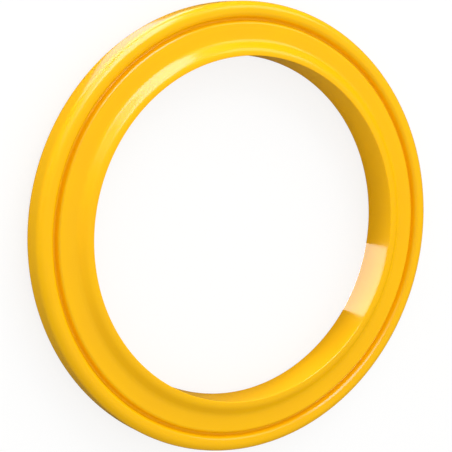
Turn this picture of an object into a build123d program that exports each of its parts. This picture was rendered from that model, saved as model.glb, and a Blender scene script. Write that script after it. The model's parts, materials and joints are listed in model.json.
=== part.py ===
from build123d import *
import os
from math import radians, sin, tan

# U cup seal moulded in one piece from polyurethane.
# It lies on its heel on the XY plane, with the lips up and its axis on +Z.

# Ring
rod_diameter = 65.0  # bore, which grips the rod
section_width = 10.0  # bore to outer wall, for an 85 mm housing
heel_height = 4.95  # heel face to groove floor

# Groove, measured from the outer wall to its middle
groove_inset = 3.4
groove_depth = 1.15  # land to groove floor
groove_floor_radius = 0.3
groove_flank_angle = 15.0  # lean of each flank from the axis

# Outer lip, which seals on the housing
outer_lip_height = 1.15  # groove floor to crest
outer_lip_wall_radius = 1.1
outer_lip_groove_radius = 0.6

# Inner lip, which stands above the land and seals on the rod
inner_lip_height = 1.6  # land to rim
inner_lip_width = 3.1  # bore to foot of the slope
rim_width = 1.2  # bore to head of the slope
rim_edge_radius = 0.15
slope_head_radius = 1.2
slope_foot_radius = 1.2

# Land and heel edges
land_edge_radius = 0.5
heel_outer_radius = 1.8
heel_bore_radius = 0.4

# Levels and radii that follow from the sizes above
bore = rod_diameter / 2
outer_wall = bore + section_width
groove_middle = outer_wall - groove_inset
land_level = heel_height + groove_depth
crest_level = heel_height + outer_lip_height
rim_level = land_level + inner_lip_height

# The two flanks would meet in a point below the rounded floor
flank_angle = radians(groove_flank_angle)
flank_point = heel_height + groove_floor_radius - groove_floor_radius / sin(flank_angle)
lip_flank = groove_middle + (crest_level - flank_point) * tan(flank_angle)
land_flank = groove_middle - (land_level - flank_point) * tan(flank_angle)

# Corners of the section as radius, height and rounding, from the bore round the heel to the rim
section = [
    (bore, 0, heel_bore_radius),
    (outer_wall, 0, heel_outer_radius),
    (outer_wall, crest_level, outer_lip_wall_radius),
    (lip_flank, crest_level, outer_lip_groove_radius),
    (groove_middle, flank_point, groove_floor_radius),
    (land_flank, land_level, land_edge_radius),
    (bore + inner_lip_width, land_level, slope_foot_radius),
    (bore + rim_width, rim_level, slope_head_radius),
    (bore, rim_level, rim_edge_radius),
]
corners = [(radius, height) for radius, height, rounding in section]
roundings = [rounding for radius, height, rounding in section]

with BuildPart() as seal_ring:
    with BuildSketch(Plane.XZ):
        with BuildLine():
            FilletPolyline(*corners, radius=roundings, close=True)
        make_face()
    revolve(axis=Axis.Z)

seal_ring.part.label = "seal_ring"
os.makedirs("parts", exist_ok=True)
export_step(seal_ring.part, "parts/seal_ring.step")
print(f"seal_ring: {seal_ring.part.volume:.1f} mm3, {seal_ring.part.bounding_box().size}")
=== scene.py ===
import json
from math import acos, ceil, cos, pi, radians, sin, tan, tau

import bmesh
import bpy
from mathutils import Matrix, Vector


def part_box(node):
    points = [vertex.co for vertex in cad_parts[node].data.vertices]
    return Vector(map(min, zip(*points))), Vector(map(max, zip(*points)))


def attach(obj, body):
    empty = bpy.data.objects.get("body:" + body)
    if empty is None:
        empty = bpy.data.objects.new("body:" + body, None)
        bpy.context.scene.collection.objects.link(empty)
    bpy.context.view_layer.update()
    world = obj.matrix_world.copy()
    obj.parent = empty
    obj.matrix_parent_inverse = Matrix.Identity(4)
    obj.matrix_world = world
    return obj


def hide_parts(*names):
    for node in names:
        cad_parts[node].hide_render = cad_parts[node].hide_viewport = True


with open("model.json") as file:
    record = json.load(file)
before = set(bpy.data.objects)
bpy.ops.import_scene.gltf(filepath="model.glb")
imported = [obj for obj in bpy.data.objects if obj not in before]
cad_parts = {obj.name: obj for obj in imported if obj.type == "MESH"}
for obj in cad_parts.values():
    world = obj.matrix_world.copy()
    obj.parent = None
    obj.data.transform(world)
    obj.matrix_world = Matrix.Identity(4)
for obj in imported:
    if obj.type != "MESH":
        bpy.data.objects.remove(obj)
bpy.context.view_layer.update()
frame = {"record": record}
print("frame loaded")

mm = 0.001
scene = bpy.context.scene
mountSizes = {mount["name"]: mount["dims"] for mount in frame["record"]["mounts"]}
heelCorner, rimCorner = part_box("seal_ring")


def toLinear(hexColour):  # sRGB to the renderer's linear colour
    channels = [int(hexColour[i:i + 2], 16) / 255 for i in (1, 3, 5)]
    return (*[c / 12.92 if c <= 0.04045 else ((c + 0.055) / 1.055) ** 2.4 for c in channels], 1)


def addNode(tree, kind, settings=(), links=()):
    # a setting is a property of the node where it has one of that name, and else a socket's value
    node = tree.nodes.new(kind)
    for name, value in dict(settings).items():
        if isinstance(name, str) and hasattr(node, name):
            setattr(node, name, value)
        else:
            node.inputs[name].default_value = value
    for name, source in dict(links).items():
        tree.links.new(source, node.inputs[name])
    return node


def emptyMaterial(name):
    material = bpy.data.materials.new(name)
    material.use_nodes = True
    material.node_tree.nodes.clear()
    return material, material.node_tree


# the seal is one moulding that lies on its heel with the lips up; lengths are in mm
ring = {
    "bore": mountSizes["rod_bore"]["r_mm"],  # radius, where the rod fits
    "outerWall": mountSizes["housing_wall"]["r_mm"],  # radius, where the housing fits
    "rimLevel": (rimCorner.z - heelCorner.z) / mm,
    "grooveLevel": 5.15,  # heel face to groove floor
    "landLevel": 6.3,
    "crestLevel": 6.5,  # top of the outer lip
    "grooveInset": 3.31,  # outer wall to the middle of the groove
    "grooveFloorRadius": 0.3,
    "flankLean": 15,  # degrees between each side of the groove and the axis
    "lipOuterRadius": 1.65,
    "lipInnerRadius": 0.95,
    "landEdgeRadius": 0.55,
    "slopeFootWidth": 2.75,  # bore to foot of the inner lip's slope
    "slopeFootRadius": 1.6,
    "rimWidth": 1.15,
    "slopeHeadRadius": 1.9,
    "rimEdgeRadius": 0.15,
    "heelOuterRadius": 1.8,
    "heelBoreRadius": 0.4,
    "turnSteps": 512,  # faces round the ring
    "arcStep": 7,  # degrees of bend for each face of a rounding
    "runStep": 0.5,  # longest face along the section
}


def sealCorners(r):
    lean = radians(r["flankLean"])
    middle = r["outerWall"] - r["grooveInset"]
    point = r["grooveLevel"] + r["grooveFloorRadius"] * (1 - 1 / sin(lean))
    return [
        (r["bore"], 0, r["heelBoreRadius"]),
        (r["outerWall"], 0, r["heelOuterRadius"]),
        (r["outerWall"], r["crestLevel"], r["lipOuterRadius"]),
        (middle + (r["crestLevel"] - point) * tan(lean), r["crestLevel"], r["lipInnerRadius"]),
        (middle, point, r["grooveFloorRadius"]),
        (middle - (r["landLevel"] - point) * tan(lean), r["landLevel"], r["landEdgeRadius"]),
        (r["bore"] + r["slopeFootWidth"], r["landLevel"], r["slopeFootRadius"]),
        (r["bore"] + r["rimWidth"], r["rimLevel"], r["slopeHeadRadius"]),
        (r["bore"], r["rimLevel"], r["rimEdgeRadius"]),
    ]


def roundedSection(corners, arcStep):
    # each corner becomes an arc that runs smoothly into the sides beside it
    points = []
    for i, (x, y, radius) in enumerate(corners):
        here = Vector((x, y))
        before = (Vector(corners[i - 1][:2]) - here).normalized()
        after = (Vector(corners[(i + 1) % len(corners)][:2]) - here).normalized()
        opening = acos(before.dot(after))
        centre = here + (before + after).normalized() * radius / sin(opening / 2)
        start = here + before * radius / tan(opening / 2) - centre
        turn = (pi - opening) * (1 if before.cross(after) < 0 else -1)
        steps = max(2, ceil(abs(turn) / radians(arcStep)))
        for k in range(steps + 1):
            points.append(centre + Matrix.Rotation(turn * k / steps, 2) @ start)
    return points


def evenRuns(points, longest):
    dense = []
    for start, end in zip(points, points[1:] + points[:1]):
        steps = max(1, ceil((end - start).length / longest))
        dense += [start.lerp(end, k / steps) for k in range(steps)]
    return dense


def turnedRing(name, r):
    # the section swept round the axis in rows, with a face between each point and the next
    section = evenRuns(roundedSection(sealCorners(r), r["arcStep"]), r["runStep"])
    mesh = bmesh.new()
    rows = []
    for k in range(r["turnSteps"]):
        angle = tau * k / r["turnSteps"]
        rows.append([mesh.verts.new((p.x * cos(angle) * mm, p.x * sin(angle) * mm, p.y * mm))
                     for p in section])
    for here, there in zip(rows, rows[1:] + rows[:1]):
        for i in range(len(section)):
            j = (i + 1) % len(section)
            mesh.faces.new((here[i], there[i], there[j], here[j])).smooth = True
    bmesh.ops.recalc_face_normals(mesh, faces=mesh.faces)
    data = bpy.data.meshes.new(name)
    mesh.to_mesh(data)
    mesh.free()
    piece = bpy.data.objects.new(name, data)
    scene.collection.objects.link(piece)
    return piece


sealRing = turnedRing("sealRing", ring)
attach(sealRing, "root")
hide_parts("seal_ring")
print("seal ring:", len(sealRing.data.polygons), "faces")


polyurethane = {
    "colour": "#FAC000",  # golden yellow pigment right through
    "deepColour": "#F5B400",
    "cloudSize": 9,  # mm, how wide the pigment's clouds are
    "cloudDetail": 2,
    "ior": 1.5,
    "roughness": 0.18,
    "roughnessSpread": 0.04,
    "drawSize": 0.5,  # mm between faint turned rings, drawn coarse: real ones are too fine to show
    "drawDetail": 1,
    "drawDepth": 0.0012,  # mm
    "drawTint": 0.35,  # how far a turned ring leans to the deep colour
    "rippleSize": 5,  # mm across the slow waves that the mould leaves in the shine
    "rippleDetail": 1,
    "rippleDepth": 0.01,  # mm
}


def mouldedPolyurethane(name, p):
    # cast polyurethane, moulded and then trimmed on a lathe: opaque bright pigment under a
    # smooth wet-looking skin, with rings too faint to feel that break up the shine
    material, tree = emptyMaterial(name)
    place = addNode(tree, "ShaderNodeTexCoord").outputs["Object"]
    clouds = addNode(
        tree, "ShaderNodeTexNoise",
        {"Scale": 1 / (p["cloudSize"] * mm), "Detail": p["cloudDetail"]},
        {"Vector": place}).outputs["Fac"]
    ripple = addNode(
        tree, "ShaderNodeTexNoise",
        {"Scale": 1 / (p["rippleSize"] * mm), "Detail": p["rippleDetail"]},
        {"Vector": place}).outputs["Fac"]
    # the turned rings follow the distance from the axis and the height
    axes = addNode(tree, "ShaderNodeSeparateXYZ", {}, {"Vector": place}).outputs
    flat = addNode(tree, "ShaderNodeCombineXYZ", {}, {"X": axes["X"], "Y": axes["Y"]})
    reach = addNode(
        tree, "ShaderNodeVectorMath", {"operation": "LENGTH"}, {0: flat.outputs["Vector"]})
    section = addNode(
        tree, "ShaderNodeCombineXYZ", {}, {"X": reach.outputs["Value"], "Y": axes["Z"]})
    drawn = addNode(
        tree, "ShaderNodeTexNoise",
        {"noise_dimensions": "2D", "Scale": 1 / (p["drawSize"] * mm), "Detail": p["drawDetail"]},
        {"Vector": section.outputs["Vector"]}).outputs["Fac"]
    drawnTint = addNode(
        tree, "ShaderNodeMath", {"operation": "MULTIPLY", 1: p["drawTint"]}, {0: drawn})
    deepShare = addNode(
        tree, "ShaderNodeMath", {"operation": "MULTIPLY_ADD", 1: 1 - p["drawTint"]},
        {0: clouds, 2: drawnTint.outputs[0]})
    colour = addNode(  # sockets 6 and 7 hold the two colours
        tree, "ShaderNodeMix",
        {"data_type": "RGBA", 6: toLinear(p["colour"]), 7: toLinear(p["deepColour"])},
        {0: deepShare.outputs[0]}).outputs[2]
    roughness = addNode(
        tree, "ShaderNodeMapRange",
        {"To Min": p["roughness"] - p["roughnessSpread"] / 2,
         "To Max": p["roughness"] + p["roughnessSpread"] / 2},
        {"Value": clouds}).outputs["Result"]
    rippleBump = addNode(
        tree, "ShaderNodeBump", {"Distance": p["rippleDepth"] * mm, "Strength": 1.0},
        {"Height": ripple}).outputs["Normal"]
    drawnBump = addNode(
        tree, "ShaderNodeBump", {"Distance": p["drawDepth"] * mm, "Strength": 1.0},
        {"Height": drawn, "Normal": rippleBump}).outputs["Normal"]
    shader = addNode(
        tree, "ShaderNodeBsdfPrincipled", {"IOR": p["ior"]},
        {"Base Color": colour, "Roughness": roughness, "Normal": drawnBump})
    addNode(tree, "ShaderNodeOutputMaterial", {}, {"Surface": shader.outputs["BSDF"]})
    return material


sealRing.data.materials.append(mouldedPolyurethane("mouldedPolyurethane", polyurethane))
print("material made")


# the camera looks down across the ring
view = {
    "lens": 115.13,  # mm
    "distance": 275.72,  # mm from the aim point
    "elevation": 58.07,  # degrees above the table
    "roll": 103.06,  # degrees, which stands the ring up in the frame
    "aim": (0.2, -1.0, 0),  # mm from the middle of the heel
    "nearClip": 10,  # mm
}


def addCamera(v):
    camera = bpy.data.objects.new("camera", bpy.data.cameras.new("camera"))
    scene.collection.objects.link(camera)
    tilt = radians(v["elevation"])
    back = Vector((0, -cos(tilt), sin(tilt)))
    camera.location = Vector(v["aim"]) * mm + back * v["distance"] * mm
    level = (-back).to_track_quat("-Z", "Y")
    roll = Matrix.Rotation(radians(v["roll"]), 3, "Z").to_quaternion()
    camera.rotation_mode = "QUATERNION"
    camera.rotation_quaternion = level @ roll
    camera.data.lens = v["lens"]
    camera.data.clip_start = v["nearClip"] * mm
    scene.camera = camera


addCamera(view)
print("camera placed")


studio = {
    "floorSize": 3000,  # mm
    "floorColour": "#BCBCBC",  # what the floor throws back on the ring
    "seenFloorColour": "#F4F4F2",
    "shineFloorColour": "#5A5A5A",  # dim in the shine, so the walls keep their yellow
    "whiteShare": 0.8,  # how far the seen floor is plain white, which leaves a faint shadow
    "whiteLevel": 1.0,
    "skyLevel": 0.192,
    "skyBanks": [  # direction, level added on that side
        ((0, 0, 1), 0.8),
        ((0, 1, 0), 0.456),
        ((0, -1, 0), 0.268),
    ],
    "shineSkyLevel": 0.064,  # the shine shows a darker room, which keeps the yellow deep
    "softboxes": [  # name, degrees round and up, mm away, mm wide and high, watts
        ("rightSoftbox", 135, 32, 500, (300, 300), 0.31),
        ("backSoftbox", 180, 32, 500, (300, 300), 0.82),
        ("leftSoftbox", 225, 32, 500, (300, 300), 0.15),
        ("leftStrip", 225, 3.6, 350, (250, 40), 0.50),
        ("frontStrip", 270, 3.6, 350, (250, 40), 0.11),
    ],
    # the same with a colour, and only in the shine: those short of green keep the yellow
    # under them from clipping
    "shineBoxes": [
        ("shoulderShine", 203, 32, 500, (245, 500), 2.7, "#FFD8FF"),
        ("leftShine", 227, 32, 500, (110, 480), 0.47, "#FFD8FF"),
        ("frontShine", 246, 36, 500, (120, 300), 0.09, "#FFD8FF"),
        ("edgeShine", 152, 36, 500, (230, 210), 0.29, "#FFFFFF"),
    ],
    # on the floor by the outer wall: name, degrees round, mm from the axis, mm wide and high,
    # watts, colour
    "shineCards": [
        ("wallShine", 226, 44.65, (29, 3.7), 0.00054, "#FFD8FF"),
        ("shoulderFootShine", 224, 93.5, (40, 94), 0.055, "#FFD8FF"),
    ],
    # the same without a colour, inside the ring, where they throw light up the bore wall
    "boreFills": [
        ("boreFill", 0, 0, (40, 40), 0.0030),
        ("boreFrontFill", 15, 18, (30, 16), 0.0018),
    ],
    "cardHeight": 0.05,  # mm above the floor
    # corners of the lit sheet on the floor that the bore wall mirrors, mm
    "boreShine": [(-3.0, 33.4), (12.0, 31.6), (7.8, 25.6), (-1.95, 26.4)],
    "boreShineLevel": 4.8,
}


def flatSheet(name, corners, height, material):
    data = bpy.data.meshes.new(name)
    data.from_pydata([(x * mm, y * mm, height * mm) for x, y in corners], [], [(0, 1, 2, 3)])
    data.materials.append(material)
    sheet = bpy.data.objects.new(name, data)
    scene.collection.objects.link(sheet)
    return sheet


def rayKinds(tree):
    # one output for what is seen straight on or through glass, one for what the shine shows
    path = addNode(tree, "ShaderNodeLightPath").outputs
    seen = addNode(
        tree, "ShaderNodeMath", {"operation": "MAXIMUM"},
        {0: path["Is Camera Ray"], 1: path["Is Transmission Ray"]}).outputs[0]
    return seen, path["Is Glossy Ray"]


def addFloor(s):
    material, tree = emptyMaterial("paleTable")
    seen, mirrored = rayKinds(tree)
    plain = addNode(
        tree, "ShaderNodeMix",
        {"data_type": "RGBA", 6: toLinear(s["floorColour"]), 7: toLinear(s["seenFloorColour"])},
        {0: seen}).outputs[2]
    colour = addNode(
        tree, "ShaderNodeMix", {"data_type": "RGBA", 7: toLinear(s["shineFloorColour"])},
        {0: mirrored, 6: plain}).outputs[2]
    share = addNode(
        tree, "ShaderNodeMath", {"operation": "MULTIPLY", 1: s["whiteShare"]}, {0: seen})
    table = addNode(tree, "ShaderNodeBsdfDiffuse", {}, {"Color": colour})
    white = addNode(tree, "ShaderNodeEmission", {"Strength": s["whiteLevel"]})
    surface = addNode(
        tree, "ShaderNodeMixShader", {},
        {0: share.outputs[0], 1: table.outputs[0], 2: white.outputs[0]})
    addNode(tree, "ShaderNodeOutputMaterial", {}, {"Surface": surface.outputs[0]})
    half = s["floorSize"] / 2
    corners = [(-half, -half), (half, -half), (half, half), (-half, half)]
    floor = flatSheet("floor", corners, 0, material)


def around(turn, rise, reach):
    turn, rise = radians(turn), radians(rise)
    return Vector((cos(turn) * cos(rise), sin(turn) * cos(rise), sin(rise))) * reach


def addSoftbox(name, place, size, power):
    lamp = bpy.data.lights.new(name, "AREA")
    lamp.shape = "RECTANGLE"
    lamp.size, lamp.size_y = size[0] * mm, size[1] * mm
    lamp.energy = power
    box = bpy.data.objects.new(name, lamp)
    box.location = place * mm
    box.rotation_euler = (-box.location).to_track_quat("-Z", "Y").to_euler()  # at the ring
    box.visible_camera = False
    scene.collection.objects.link(box)
    return box


def addFloorCard(name, turn, reach, height, size, power):
    card = addSoftbox(name, around(turn, 0, reach) + Vector((0, 0, height)), size, power)
    card.rotation_euler = (pi, 0, radians(turn) - pi / 2)  # face up, long side along the wall
    return card


def onlyShine(box, colour):
    box.visible_diffuse = False
    box.data.color = toLinear(colour)[:3]


def addShineSheet(name, corners, height, level):
    material, tree = emptyMaterial("litSheet")
    glow = addNode(tree, "ShaderNodeEmission", {"Strength": level})
    addNode(tree, "ShaderNodeOutputMaterial", {}, {"Surface": glow.outputs[0]})
    sheet = flatSheet(name, corners, height, material)
    sheet.visible_camera = sheet.visible_diffuse = sheet.visible_shadow = False


def addSky(s):
    world = bpy.data.worlds.new("studio")
    world.use_nodes = True
    tree = world.node_tree
    tree.nodes.clear()
    direction = addNode(tree, "ShaderNodeTexCoord").outputs["Generated"]
    seen, mirrored = rayKinds(tree)
    banks = addNode(tree, "ShaderNodeValue").outputs[0]
    banks.default_value = s["skyLevel"]
    for towards, added in s["skyBanks"]:
        lean = addNode(
            tree, "ShaderNodeVectorMath", {"operation": "DOT_PRODUCT", 1: towards}, {0: direction})
        facing = addNode(  # nothing is added on the far side
            tree, "ShaderNodeMath", {"operation": "MAXIMUM", 1: 0.0}, {0: lean.outputs["Value"]})
        banks = addNode(
            tree, "ShaderNodeMath", {"operation": "MULTIPLY_ADD", 1: added},
            {0: facing.outputs[0], 2: banks}).outputs[0]
    room = addNode(  # sockets 2 and 3 hold the two levels
        tree, "ShaderNodeMix", {3: s["shineSkyLevel"]}, {0: mirrored, 2: banks}).outputs[0]
    level = addNode(tree, "ShaderNodeMix", {3: s["whiteLevel"]}, {0: seen, 2: room}).outputs[0]
    sky = addNode(tree, "ShaderNodeBackground", {"Color": (1, 1, 1, 1)}, {"Strength": level})
    addNode(tree, "ShaderNodeOutputWorld", {}, {"Surface": sky.outputs[0]})
    scene.world = world


addFloor(studio)
addSky(studio)
for name, turn, rise, away, size, power in studio["softboxes"]:
    addSoftbox(name, around(turn, rise, away), size, power).visible_glossy = False
for name, turn, rise, away, size, power, colour in studio["shineBoxes"]:
    onlyShine(addSoftbox(name, around(turn, rise, away), size, power), colour)
cardHeight = studio["cardHeight"]
for name, turn, reach, size, power, colour in studio["shineCards"]:
    onlyShine(addFloorCard(name, turn, reach, cardHeight, size, power), colour)
for name, turn, reach, size, power in studio["boreFills"]:
    addFloorCard(name, turn, reach, cardHeight, size, power).visible_glossy = False
addShineSheet("boreShine", studio["boreShine"], cardHeight, studio["boreShineLevel"])
scene.view_settings.view_transform = "Standard"
print("studio lit")
